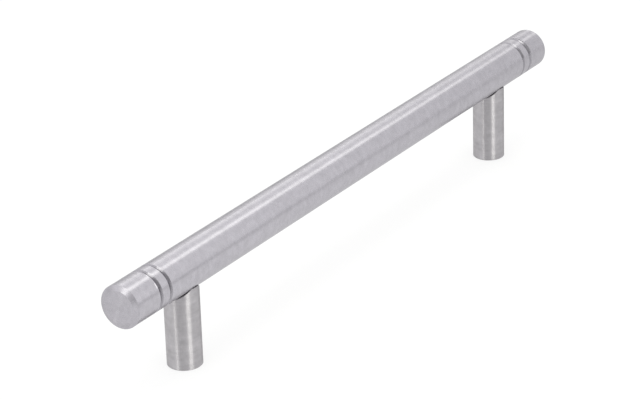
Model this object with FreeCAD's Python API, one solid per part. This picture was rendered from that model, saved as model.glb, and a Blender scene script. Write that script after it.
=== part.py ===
"""T bar cabinet pull: a solid round bar with two turned grooves near each end, carried on two round posts.

Each post is coped to a saddle that seats under the bar, and a socket set screw in blind tapped holes
joins the two. Each foot has a blind tapped hole for the screw that comes through the door.
Millimetres. X runs along the bar, Z points away from the door, and the origin lies on the door's face
midway between the posts.
"""

import FreeCAD
import Part

import math
import os

# Posts
post_spacing = 192.0
post_diameter = 11.2
foot_chamfer = 0.3

# Bar
bar_diameter = 14.0
bar_overhang = 31.0
bar_axis_height = 31.5
bar_end_chamfer_across = 1.7
bar_end_chamfer_along = 0.75

# Turned V grooves, placed by the distance of their middle from the bar's end
outer_groove_from_end = 12.0
inner_groove_from_end = 16.8
groove_width = 1.5
groove_bottom_width = 0.2
groove_angle = 60.0

# Saddle: its two ears bear on the bar, with a small gap between them at the bar's lowest line
saddle_ear_flat = 0.45
saddle_gap = 0.65
saddle_rim_chamfer = 0.25

# Set screws that join the posts to the bar
set_screw_diameter = 5.0
set_screw_length = 12.0
set_screw_depth_in_bar = 6.0
set_screw_end_chamfer = 0.5
set_screw_socket_across_flats = 2.5
set_screw_socket_depth = 2.5
set_screw_thread_clearance = 0.03
set_screw_hole_run_out = 1.5
set_screw_hole_countersink = 0.4

# Tapped hole in each foot for the door screw
door_thread_diameter = 4.0
door_thread_depth = 11.0
door_thread_countersink = 0.4

drill_point_angle = 118.0

# Worked out from the sizes above
bar_length = post_spacing + 2 * bar_overhang
bar_radius = bar_diameter / 2
post_radius = post_diameter / 2
bar_underside = bar_axis_height - bar_radius
groove_depth = (groove_width - groove_bottom_width) / 2 / math.tan(math.radians(groove_angle / 2))
ear_offset = post_radius - saddle_ear_flat
ear_height = bar_axis_height - math.sqrt(bar_radius**2 - ear_offset**2)
saddle_bottom = bar_underside - saddle_gap
set_screw_hole_radius = set_screw_diameter / 2 + set_screw_thread_clearance
set_screw_bottom = bar_underside + set_screw_depth_in_bar - set_screw_length
post_places = {"left": -post_spacing / 2, "right": post_spacing / 2}

X_AXIS = FreeCAD.Vector(1, 0, 0)
Z_AXIS = FreeCAD.Vector(0, 0, 1)


def point(x, y, z):
    return FreeCAD.Vector(x, y, z)


def groove_profile(middle):
    """Corners of one groove in the bar's half section, from left to right."""
    half = groove_width / 2
    half_bottom = groove_bottom_width / 2
    return [
        (middle - half, bar_radius),
        (middle - half_bottom, bar_radius - groove_depth),
        (middle + half_bottom, bar_radius - groove_depth),
        (middle + half, bar_radius),
    ]


def turned_bar():
    """The bar's half section, revolved about its axis."""
    half_length = bar_length / 2
    left_grooves = [outer_groove_from_end - half_length, inner_groove_from_end - half_length]
    right_grooves = [-middle for middle in reversed(left_grooves)]
    left_end = [
        (-half_length, 0),
        (-half_length, bar_radius - bar_end_chamfer_across),
        (bar_end_chamfer_along - half_length, bar_radius),
    ]
    right_end = [(-x, z) for x, z in reversed(left_end)]

    outline = list(left_end)
    for middle in left_grooves + right_grooves:
        outline += groove_profile(middle)
    outline += right_end
    corners = [point(x, 0, z) for x, z in outline]

    section = Part.Face(Part.makePolygon(corners + corners[:1]))
    bar = section.revolve(point(0, 0, 0), X_AXIS, 360)
    bar.translate(point(0, 0, bar_axis_height))
    return bar


def drilled_hole(mouth, radius, depth, countersink, lead_in, upward):
    """The cutter of a blind hole along Z: a countersunk mouth, a straight wall and the drill's cone.

    The lead-in stands out of the mouth, to clear the curved face around it.
    """
    cone = radius / math.tan(math.radians(drill_point_angle / 2))
    profile = [
        (0, -lead_in),
        (radius + countersink, -lead_in),
        (radius + countersink, 0),
        (radius, countersink),
        (radius, depth),
        (0, depth + cone),
    ]
    direction = 1 if upward else -1
    corners = [point(across, 0, direction * along) for across, along in profile]
    cutter = Part.Face(Part.makePolygon(corners + corners[:1])).revolve(point(0, 0, 0), Z_AXIS, 360)
    cutter.translate(mouth)
    return cutter


def set_screw_hole(x, bottom_or_top, depth, upward):
    """One half of a set screw's hole, in the bar when it goes upward and in the post otherwise."""
    return drilled_hole(
        mouth=point(x, 0, bottom_or_top),
        radius=set_screw_hole_radius,
        depth=depth + set_screw_hole_run_out,
        countersink=set_screw_hole_countersink,
        lead_in=ear_height - saddle_bottom,
        upward=upward,
    )


def make_bar():
    """The turned bar with a blind tapped hole in its underside over each post."""
    bar = turned_bar()
    for x in post_places.values():
        bar = bar.cut(set_screw_hole(x, bar_underside, set_screw_depth_in_bar, True))
    return bar


def saddle_cutter(x):
    """A cylinder along the bar, through the ears' seats on the bar and the saddle's lowest line.

    It is a little tighter than the bar, so that the ears touch and the middle stays clear.
    """
    sagitta = ear_height - saddle_bottom
    saddle_radius = (ear_offset**2 + sagitta**2) / (2 * sagitta)
    start = point(x - post_diameter, 0, saddle_bottom + saddle_radius)
    return Part.makeCylinder(saddle_radius, 2 * post_diameter, start, X_AXIS)


def saddle_rim(post):
    """The curves where the saddle runs out through the post's side, without the ears' flat tips."""
    return [e for e in post.Edges if e.BoundBox.ZMin > foot_chamfer and isinstance(e.Curve, Part.BSplineCurve)]


def make_post(x):
    """A post: chamfered foot, coped top, a tapped hole for the set screw and one for the door screw."""
    post = Part.makeCylinder(post_radius, ear_height, point(x, 0, 0), Z_AXIS)
    foot_rim = [e for e in post.Edges if e.BoundBox.ZMax < foot_chamfer and e.Length > post_diameter]
    post = post.makeChamfer(foot_chamfer, foot_rim)
    post = post.cut(saddle_cutter(x))
    post = post.makeChamfer(saddle_rim_chamfer, saddle_rim(post))
    post = post.cut(set_screw_hole(x, saddle_bottom, saddle_bottom - set_screw_bottom, False))
    door_hole = drilled_hole(
        mouth=point(x, 0, 0),
        radius=door_thread_diameter / 2,
        depth=door_thread_depth,
        countersink=door_thread_countersink,
        lead_in=door_thread_countersink,
        upward=True,
    )
    return post.cut(door_hole)


def make_set_screw(x):
    """A socket set screw, half in the post and half in the bar, with its hexagon socket downward."""
    bottom = point(x, 0, set_screw_bottom)
    screw = Part.makeCylinder(set_screw_diameter / 2, set_screw_length, bottom, Z_AXIS)
    rims = [e for e in screw.Edges if isinstance(e.Curve, Part.Circle)]
    screw = screw.makeChamfer(set_screw_end_chamfer, rims)

    corner_radius = set_screw_socket_across_flats / math.sqrt(3)
    turns = [math.radians(60 * k) for k in range(7)]
    corners = [bottom + point(corner_radius * math.cos(a), corner_radius * math.sin(a), 0) for a in turns]
    hexagon = Part.Face(Part.makePolygon(corners))
    return screw.cut(hexagon.extrude(point(0, 0, set_screw_socket_depth)))


def save(name, shape):
    """Write one sub-part's solid to its own STEP file."""
    assert len(shape.Solids) == 1, name
    solid = shape.Solids[0]
    assert solid.isValid(), name
    solid.exportStep(os.path.join("parts", name + ".step"))
    print(f"{name}: volume {solid.Volume:.1f} mm3, faces {len(solid.Faces)}")


os.makedirs("parts", exist_ok=True)
save("grip_bar", make_bar())
for side, place in post_places.items():
    save(side + "_post", make_post(place))
    save(side + "_set_screw", make_set_screw(place))
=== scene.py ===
"""Looks of the T bar cabinet pull: satin stainless steel on a plain white studio floor."""

import math

import bpy
from mathutils import Matrix, Vector


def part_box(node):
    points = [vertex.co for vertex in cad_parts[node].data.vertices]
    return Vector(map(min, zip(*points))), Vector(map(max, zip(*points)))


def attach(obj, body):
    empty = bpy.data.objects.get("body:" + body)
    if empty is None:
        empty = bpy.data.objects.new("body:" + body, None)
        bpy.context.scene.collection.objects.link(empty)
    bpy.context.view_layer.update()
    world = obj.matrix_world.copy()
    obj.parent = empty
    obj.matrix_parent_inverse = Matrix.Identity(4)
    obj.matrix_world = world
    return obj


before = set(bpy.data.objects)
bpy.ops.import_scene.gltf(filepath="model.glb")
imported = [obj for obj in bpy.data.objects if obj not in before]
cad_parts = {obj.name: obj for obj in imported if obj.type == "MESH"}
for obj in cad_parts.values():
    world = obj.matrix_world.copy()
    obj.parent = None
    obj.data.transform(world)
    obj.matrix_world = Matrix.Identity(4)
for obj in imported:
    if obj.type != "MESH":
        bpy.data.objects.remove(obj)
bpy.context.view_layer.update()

MM = 0.001
X_AXIS = (1.0, 0.0, 0.0)
Y_AXIS = (0.0, 1.0, 0.0)
Z_AXIS = (0.0, 0.0, 1.0)

# Main places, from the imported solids
bar_low, bar_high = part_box("grip_bar")
bar_radius = (bar_high[2] - bar_low[2]) / 2
bar_axis_height = bar_high[2] - bar_radius
bar_end = bar_high[0]
post_places = {}
for side in ("left", "right"):
    post_low, post_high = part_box(side + "_post")
    post_places[side] = (post_low[0] + post_high[0]) / 2

# Camera: a long lens, placed by azimuth and elevation round the middle of the bar's axis
camera_azimuth = math.radians(-57.07)
camera_elevation = math.radians(22.93)
camera_roll = math.radians(-1.86)
camera_distance = 857.3 * MM
sensor_width = 36.0
lens_length = 146.5
picture_width = 640
picture_height = 400
bar_middle_across = 347.4
bar_middle_down = 162.8

# Thread in each foot: M4, with its ridge standing in from the plain hole's wall
thread_radius = 2.0 * MM
thread_pitch = 0.7 * MM
thread_ridge_height = 0.38 * MM
thread_half_root = 0.44 * thread_pitch
thread_half_crest = 0.07 * thread_pitch
thread_root_in_wall = 0.03 * MM
thread_start = 0.45 * MM
thread_end = 10.2 * MM
thread_sides = 40

# Finishes of the turned steel: rings is the strength of the brushed rings, and mottle the unevenness
# of the tone
bar_finish = {
    "tone": (0.510, 0.494, 0.533),
    "roughness": 0.26,
    "anisotropy": 0.85,
    "rings": 0.13,
    "mottle": 0.06,
}
post_finish = {
    "tone": (0.470, 0.456, 0.473),
    "roughness": 0.39,
    "anisotropy": 0.94,
    "rings": 0.4,
    "mottle": 0.075,
}
screw_finish = {
    "tone": (0.30, 0.30, 0.31),
    "roughness": 0.35,
    "anisotropy": 0.4,
    "rings": 0.4,
    "mottle": 0.03,
}
thread_finish = {
    "tone": post_finish["tone"],
    "roughness": 0.3,
    "anisotropy": 0.3,
    "rings": 0.2,
    "mottle": 0.03,
}

# Noises: scale per metre, detail and roughness. The first three follow the turning
fine_ring_noise = (9000.0, 3.0, 0.7)
coarse_ring_noise = (1600.0, 4.0, 0.65)
streak_noise = (700.0, 3.0, 0.6)
cloud_noise = (160.0, 3.0, 0.6)
blotch_noise = (480.0, 2.0, 0.6)
grain_noise = (2200.0, 2.0, 0.6)
paper_noise = (6.0, 3.0, 0.5)

# A noise keeps mostly to the first range, and the sum of two noises to the second
noise_range = (0.3, 0.7)
noise_sum_range = (0.7, 1.3)

# Brushed rings: the shares of the two ring noises in them, the depth of their relief, and how fast they
# change round the axis as a share of how fast they change along it
fine_ring_share = 0.55
coarse_ring_share = 0.45
ring_depth = 0.02 * MM
change_round_axis = 0.12

# How far each noise moves the steel's tone. The first two are for rings at full strength
ring_tone_change = 0.09
streak_tone_change = 0.19
cloud_tone_change = 0.03
grain_tone_change = 0.02

# The finish's roughness is times these where the steel is smoothest and roughest
roughness_factors = (0.9, 1.12)

# A face that looks at least this much along the axis takes the turning marks and the tone of a flat end:
# the ends, their chamfers and the walls of the grooves
flat_end_facing = 0.8
flat_end_tone = 0.88

# Painted shade in the bar's grooves and holes: what lies deeper than this, clear of its ends, is darkened
recess_shade_depth = 0.06 * MM
recess_shade_clear_of_end = 4.0 * MM
recess_shade_tone = 0.82

# Burr on the outer lip of each outer groove
burr_start_from_end = 10.75 * MM
burr_crest_from_end = 11.15 * MM
burr_height = 0.23 * MM

# Tint of what the steel reflects at grazing angles
grazing_tint = (0.86, 0.86, 0.86, 1.0)

# Floor: white paper. What glossy rays see of it fades from its middle towards the bar's far end
floor_half_width = 60.0
paper_tones = (0.86, 0.88)
plain_white_share = 0.8
floor_fade_end = 0.25
floor_fade_level = 0.80

# The soft boxes are a little warmer than the room
lamp_colour = (0.985, 1.0, 0.92)

# Room: its brightness in a direction is the product of ramps. A row has the way that a ramp runs, where
# it starts and stops, and the brightness at its start and at its stop
room_ramps = (
    (X_AXIS, 0.60, 0.80, 1.13, 1.16),  # the whole room, with a little more towards the far end
    (X_AXIS, 0.81, 0.92, 1.0, 0.25),  # dark straight off the far end
    (X_AXIS, -0.2, 0.55, 0.94, 1.0),  # a little less towards the near end
    ((-0.857, -0.475, 0.20), 0.82, 0.95, 1.0, 0.53),  # grey behind the camera
    ((-0.83, 0.44, 0.34), 0.70, 0.93, 1.0, 1.20),  # light on the camera's left
    (Z_AXIS, -0.02, 0.13, 0.58, 1.0),  # grey at the horizon
)
# It is darker low behind the bar's far half, where all three of these ramps are up
low_back_ramps = (
    (Y_AXIS, 0.30, 0.50, 0.0, 1.0),
    (Z_AXIS, 0.22, 0.42, 1.0, 0.0),
    (X_AXIS, 0.0, 0.4, 0.0, 1.0),
)
low_back_level = 0.66


class Nodes:
    """The node tree of a material or the world, with short calls for the nodes used here."""

    def __init__(self, owner):
        owner.use_nodes = True
        self.tree = owner.node_tree
        self.tree.nodes.clear()

    def add(self, kind, inputs=None, **settings):
        """A new node. Each input is linked to the socket that is given for it, or set to the value."""
        node = self.tree.nodes.new(kind)
        for name, value in settings.items():
            setattr(node, name, value)
        for name, value in (inputs or {}).items():
            if isinstance(value, bpy.types.NodeSocket):
                self.tree.links.new(value, node.inputs[name])
            else:
                node.inputs[name].default_value = value
        return node

    def math(self, operation, a, b):
        return self.add("ShaderNodeMath", {0: a, 1: b}, operation=operation).outputs[0]

    def product(self, first, *others):
        for other in others:
            first = self.math("MULTIPLY", first, other)
        return first

    def vector(self, operation, a, b):
        return self.add("ShaderNodeVectorMath", {0: a, 1: b}, operation=operation).outputs[0]

    def unit(self, a):
        return self.add("ShaderNodeVectorMath", {0: a}, operation="NORMALIZE").outputs[0]

    def scaled(self, a, factor):
        return self.add("ShaderNodeVectorMath", {0: a, "Scale": factor}, operation="SCALE").outputs[0]

    def length(self, a):
        return self.add("ShaderNodeVectorMath", {0: a}, operation="LENGTH").outputs["Value"]

    def dot(self, a, b):
        return self.add("ShaderNodeVectorMath", {0: a, 1: b}, operation="DOT_PRODUCT").outputs["Value"]

    def choose(self, mask, a, b):
        """The vector a where the mask is 0, and b where it is 1."""
        inputs = {"Factor": mask, "A": a, "B": b}
        return self.add("ShaderNodeMix", inputs, data_type="VECTOR").outputs["Result"]

    def remap(self, value, low, high, to_low, to_high):
        inputs = {"Value": value, "From Min": low, "From Max": high, "To Min": to_low, "To Max": to_high}
        return self.add("ShaderNodeMapRange", inputs).outputs[0]

    def where(self, mask, level):
        """A factor that is one where the mask is 0, and the level where it is 1."""
        return self.remap(mask, 0.0, 1.0, 1.0, level)

    def noise(self, place, scale, detail, roughness):
        inputs = {"Vector": place, "Scale": scale, "Detail": detail, "Roughness": roughness}
        return self.add("ShaderNodeTexNoise", inputs).outputs[0]

    def waver(self, noise, change):
        """A factor that follows the noise, by the change either side of one."""
        return self.remap(noise, *noise_range, 1.0 - change, 1.0 + change)

    def bump(self, height, depth, strength, **under):
        inputs = {"Strength": strength, "Distance": depth, "Height": height, **under}
        return self.add("ShaderNodeBump", inputs).outputs[0]

    def grey(self, level):
        return self.add("ShaderNodeCombineColor", {0: level, 1: level, 2: level}).outputs[0]

    def ramps(self, direction, rows):
        """The product of the ramps in the rows, at a direction."""
        factors = [self.remap(self.dot(direction, way), *ramp) for way, *ramp in rows]
        return self.product(*factors)


class TurnedNodes(Nodes):
    """The nodes of a piece turned about an axis, with sockets that say where on it a point lies."""

    def __init__(self, material, along, axis_point):
        super().__init__(material)
        across = tuple(1.0 - part for part in along)
        self.place = self.vector("SUBTRACT", self.add("ShaderNodeTexCoord").outputs["Object"], axis_point)
        self.radial = self.vector("MULTIPLY", self.place, across)
        self.axial = self.vector("MULTIPLY", self.place, along)
        self.from_axis = self.length(self.radial)
        self.from_middle = self.length(self.axial)
        normal = self.add("ShaderNodeNewGeometry").outputs["True Normal"]
        facing = self.length(self.vector("MULTIPLY", normal, along))
        self.on_end = self.math("GREATER_THAN", facing, flat_end_facing)
        self.across_rings = self.unit(self.choose(self.on_end, along, self.radial))

    def ring_place(self):
        """Coordinates that change fast along the axis, or outward on a flat end, and slowly round it."""
        squeezed = self.scaled(self.radial, change_round_axis)
        outward = self.add("ShaderNodeCombineXYZ", {0: self.from_axis}).outputs[0]
        side_place = self.vector("ADD", squeezed, self.axial)
        end_place = self.vector("ADD", squeezed, outward)
        return self.choose(self.on_end, side_place, end_place)

    def recess_painted_shade(self, radius, reach):
        """The factor of painted shade in recesses: nearer the axis than the radius, within the reach."""
        inside = self.math("LESS_THAN", self.from_axis, radius)
        within = self.math("LESS_THAN", self.from_middle, reach)
        return self.where(self.product(inside, within), recess_shade_tone)


def turned_steel(name, finish, along, axis_point, shaded_recess=None, burr=None):
    """Satin steel brushed round a turned piece's axis, with faint turning marks on its flat ends.

    The shaded recess is given as a radius, and a reach along the axis from the middle: what lies inside both
    is darkened with painted shade, in the grooves and holes. Burr is where a raised lip starts and crests,
    measured in the same way, and its height. Only the lip's outer flank is shaped.
    """
    material = bpy.data.materials.new(name)
    nodes = TurnedNodes(material, along, axis_point)
    ring_place = nodes.ring_place()
    fine_rings = nodes.noise(ring_place, *fine_ring_noise)
    coarse_rings = nodes.noise(ring_place, *coarse_ring_noise)
    streaks = nodes.noise(ring_place, *streak_noise)
    clouds = nodes.noise(nodes.place, *cloud_noise)
    blotches = nodes.noise(nodes.place, *blotch_noise)
    grain = nodes.noise(nodes.place, *grain_noise)
    fine_part = nodes.product(fine_rings, fine_ring_share)
    coarse_part = nodes.product(coarse_rings, coarse_ring_share)
    rings = nodes.math("ADD", fine_part, coarse_part)

    shade = nodes.product(
        nodes.waver(rings, ring_tone_change * finish["rings"]),
        nodes.waver(streaks, streak_tone_change * finish["rings"]),
        nodes.waver(clouds, cloud_tone_change),
        nodes.waver(grain, grain_tone_change),
        nodes.waver(blotches, finish["mottle"]),
        nodes.where(nodes.on_end, flat_end_tone),
    )
    # Painted shade: darker in the bar's grooves and holes
    if shaded_recess:
        shade = nodes.product(shade, nodes.recess_painted_shade(*shaded_recess))

    relief = nodes.bump(rings, ring_depth, finish["rings"])
    if burr:
        start, crest, height = burr
        flank = nodes.remap(nodes.from_middle, start, crest, 0.0, 1.0)
        relief = nodes.bump(flank, height, 1.0, Normal=relief)

    unevenness = nodes.math("ADD", coarse_rings, clouds)
    smoothest, roughest = (finish["roughness"] * factor for factor in roughness_factors)
    inputs = {
        "Base Color": nodes.scaled(finish["tone"], shade),
        "Metallic": 1.0,
        "Roughness": nodes.remap(unevenness, *noise_sum_range, smoothest, roughest),
        "Anisotropic": finish["anisotropy"],
        "Specular Tint": grazing_tint,
        "Tangent": nodes.across_rings,
        "Normal": relief,
    }
    shader = nodes.add("ShaderNodeBsdfPrincipled", inputs)
    nodes.add("ShaderNodeOutputMaterial", {"Surface": shader.outputs[0]})
    return material


def dress(node, material):
    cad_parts[node].material_slots[0].material = material


def dress_bar():
    axis_point = (0.0, 0.0, bar_axis_height)
    # Painted shade in the grooves and holes: what lies deeper than the turned surface, clear of the ends
    shaded_recess = (bar_radius - recess_shade_depth, bar_end - recess_shade_clear_of_end)
    burr = (bar_end - burr_start_from_end, bar_end - burr_crest_from_end, burr_height)
    dress("grip_bar", turned_steel("bar_steel", bar_finish, X_AXIS, axis_point, shaded_recess, burr))


def dress_posts():
    """Puts the steel on each post and on the set screw in it."""
    for side, x in post_places.items():
        foot = (x, 0.0, 0.0)
        dress(side + "_post", turned_steel(side + "_post_steel", post_finish, Z_AXIS, foot))
        dress(side + "_set_screw", turned_steel(side + "_set_screw_steel", screw_finish, Z_AXIS, foot))


def foot_thread(side, x):
    """A helical ridge on the wall of the foot's hole.

    Its whole width stays between the thread's start and end, so the turns are a little closer than the
    pitch.
    """
    crest_radius = thread_radius - thread_ridge_height
    section = [
        (thread_radius + thread_root_in_wall, -thread_half_root),
        (crest_radius, -thread_half_crest),
        (crest_radius, thread_half_crest),
        (thread_radius + thread_root_in_wall, thread_half_root),
    ]
    corners = len(section)
    turns = (thread_end - thread_start) / thread_pitch
    steps = int(turns * thread_sides)
    climb = thread_end - thread_start - thread_pitch

    vertices = []
    for k in range(steps + 1):
        angle = 2 * math.pi * k / thread_sides
        middle = thread_start + thread_pitch / 2 + climb * k / steps
        for radius, rise in section:
            vertices.append((x + radius * math.cos(angle), radius * math.sin(angle), middle + rise))

    faces = []
    for k in range(steps):
        low, high = k * corners, (k + 1) * corners
        for c in range(corners):
            n = (c + 1) % corners
            faces.append((low + c, low + n, high + n, high + c))
    faces.append(tuple(reversed(range(corners))))
    faces.append(tuple(steps * corners + c for c in range(corners)))

    mesh = bpy.data.meshes.new(side + "_foot_thread")
    mesh.from_pydata(vertices, [], faces)
    mesh.validate()
    mesh.update()
    mesh.materials.append(turned_steel(side + "_thread_steel", thread_finish, Z_AXIS, (x, 0.0, 0.0)))
    piece = bpy.data.objects.new(side + "_foot_thread", mesh)
    bpy.context.scene.collection.objects.link(piece)
    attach(piece, "root")


def floor_white():
    """White paper, most of which camera, glossy and transmission rays see as plain white."""
    material = bpy.data.materials.new("floor_white")
    nodes = Nodes(material)
    place = nodes.add("ShaderNodeTexCoord").outputs["Object"]
    tone = nodes.remap(nodes.noise(place, *paper_noise), *noise_range, *paper_tones)
    paper = nodes.add("ShaderNodeBsdfDiffuse", {"Color": nodes.grey(tone)})

    rays = nodes.add("ShaderNodeLightPath").outputs
    seen = nodes.math("MAXIMUM", rays["Is Camera Ray"], rays["Is Glossy Ray"])
    seen = nodes.math("MAXIMUM", seen, rays["Is Transmission Ray"])
    fade = nodes.remap(nodes.dot(place, X_AXIS), 0.0, floor_fade_end, 1.0, floor_fade_level)
    strength = nodes.where(rays["Is Glossy Ray"], fade)
    plain = nodes.add("ShaderNodeEmission", {"Color": (1.0, 1.0, 1.0, 1.0), "Strength": strength})

    share = nodes.product(seen, plain_white_share)
    mix = nodes.add("ShaderNodeMixShader", {0: share, 1: paper.outputs[0], 2: plain.outputs[0]})
    nodes.add("ShaderNodeOutputMaterial", {"Surface": mix.outputs[0]})
    return material


def studio_floor():
    half = floor_half_width
    corners = [(-half, -half, 0), (half, -half, 0), (half, half, 0), (-half, half, 0)]
    mesh = bpy.data.meshes.new("floor")
    mesh.from_pydata(corners, [], [(0, 1, 2, 3)])
    mesh.materials.append(floor_white())
    floor = bpy.data.objects.new("floor", mesh)
    bpy.context.scene.collection.objects.link(floor)
    return floor


def studio_world():
    """A pale room, graded by direction to give the steel its bands."""
    world = bpy.data.worlds.new("studio")
    bpy.context.scene.world = world
    nodes = Nodes(world)
    direction = nodes.add("ShaderNodeTexCoord").outputs["Generated"]
    low_back = nodes.where(nodes.ramps(direction, low_back_ramps), low_back_level)
    level = nodes.product(low_back, nodes.ramps(direction, room_ramps))
    background = nodes.add("ShaderNodeBackground", {"Color": nodes.grey(level), "Strength": 1.0})
    nodes.add("ShaderNodeOutputWorld", {"Surface": background.outputs[0]})


def soft_light(name, place, aim, size, radiance, only=()):
    """A rectangular soft box that points at the aim, as bright as a white surface times its radiance.

    Where objects are given as only, it lights nothing else.
    """
    light = bpy.data.lights.new(name, "AREA")
    light.shape = "RECTANGLE"
    light.size, light.size_y = size
    light.energy = radiance * math.pi * size[0] * size[1]
    light.color = lamp_colour
    lamp = bpy.data.objects.new(name, light)
    lamp.location = place
    lamp.rotation_euler = (Vector(aim) - Vector(place)).to_track_quat("-Z", "Y").to_euler()
    bpy.context.scene.collection.objects.link(lamp)
    if only:
        receivers = bpy.data.collections.new(name + "_receivers")
        for receiver in only:
            receivers.objects.link(receiver)
        lamp.light_linking.receiver_collection = receivers


def lights(floor):
    """Two long boxes that light everything, and smaller ones for the posts or for the bar alone."""
    for_posts = (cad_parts["left_post"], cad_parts["right_post"], floor)
    for_bar = (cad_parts["grip_bar"], floor)

    # The long highlight on the bar, from above and from behind
    soft_light(
        "strip_overhead",
        place=(0.10, -0.022, 0.55), aim=(0.10, -0.02, 0.03), size=(1.48, 0.142), radiance=0.86,
    )
    soft_light(
        "strip_back",
        place=(0.9, 0.553, 0.537), aim=(0.9, 0.0, 0.03), size=(1.5, 0.24), radiance=0.8,
    )

    # The right stripe on each post, then the left one
    soft_light(
        "strip_side",
        place=(-0.30, -0.78, 0.14), aim=(0.0, 0.0, 0.03), size=(0.32, 0.28), radiance=4.9, only=for_posts,
    )
    soft_light(
        "strip_front",
        place=(-0.837, 0.117, 0.085), aim=(-0.1, 0.0, 0.03), size=(0.17, 0.17), radiance=5.5, only=for_posts,
    )

    # The light spot on the near chamfer, then the bright burr, then the glints in the grooves
    soft_light(
        "end_front",
        place=(-0.77, 0.225, 0.20), aim=(-0.127, 0.0, 0.03), size=(0.21, 0.17), radiance=0.75, only=for_bar,
    )
    soft_light(
        "lip_front",
        place=(-0.27, -0.66, 0.45), aim=(-0.116, 0.0, 0.03), size=(0.60, 0.32), radiance=1.3, only=for_bar,
    )
    soft_light(
        "panel_front",
        place=(-0.696, 0.102, 0.43), aim=(-0.115, 0.0, 0.03), size=(0.24, 0.22), radiance=2.8, only=for_bar,
    )


def photo_camera():
    """The camera at the photograph's viewing angle, with the bar's middle where the picture has it."""
    back = Vector((
        math.sin(camera_azimuth) * math.cos(camera_elevation),
        -math.cos(camera_azimuth) * math.cos(camera_elevation),
        math.sin(camera_elevation),
    ))
    level_right = Vector(Z_AXIS).cross(back).normalized()
    level_up = back.cross(level_right)
    right = math.cos(camera_roll) * level_right + math.sin(camera_roll) * level_up
    up = -math.sin(camera_roll) * level_right + math.cos(camera_roll) * level_up

    focal_pixels = lens_length / sensor_width * picture_width
    across = (bar_middle_across - picture_width / 2) * camera_distance / focal_pixels
    down = (bar_middle_down - picture_height / 2) * camera_distance / focal_pixels
    bar_middle = Vector((0, 0, bar_axis_height))
    place = bar_middle - across * right + down * up + camera_distance * back

    camera = bpy.data.objects.new("camera", bpy.data.cameras.new("camera"))
    camera.data.lens = lens_length
    camera.data.sensor_width = sensor_width
    turn = Matrix((right, up, back)).transposed().to_4x4()
    camera.matrix_world = Matrix.Translation(place) @ turn
    bpy.context.scene.collection.objects.link(camera)
    bpy.context.scene.camera = camera


dress_bar()
dress_posts()
for post_side, post_place in post_places.items():
    foot_thread(post_side, post_place)
white_floor = studio_floor()
studio_world()
lights(white_floor)
photo_camera()
bpy.context.scene.view_settings.view_transform = "Standard"
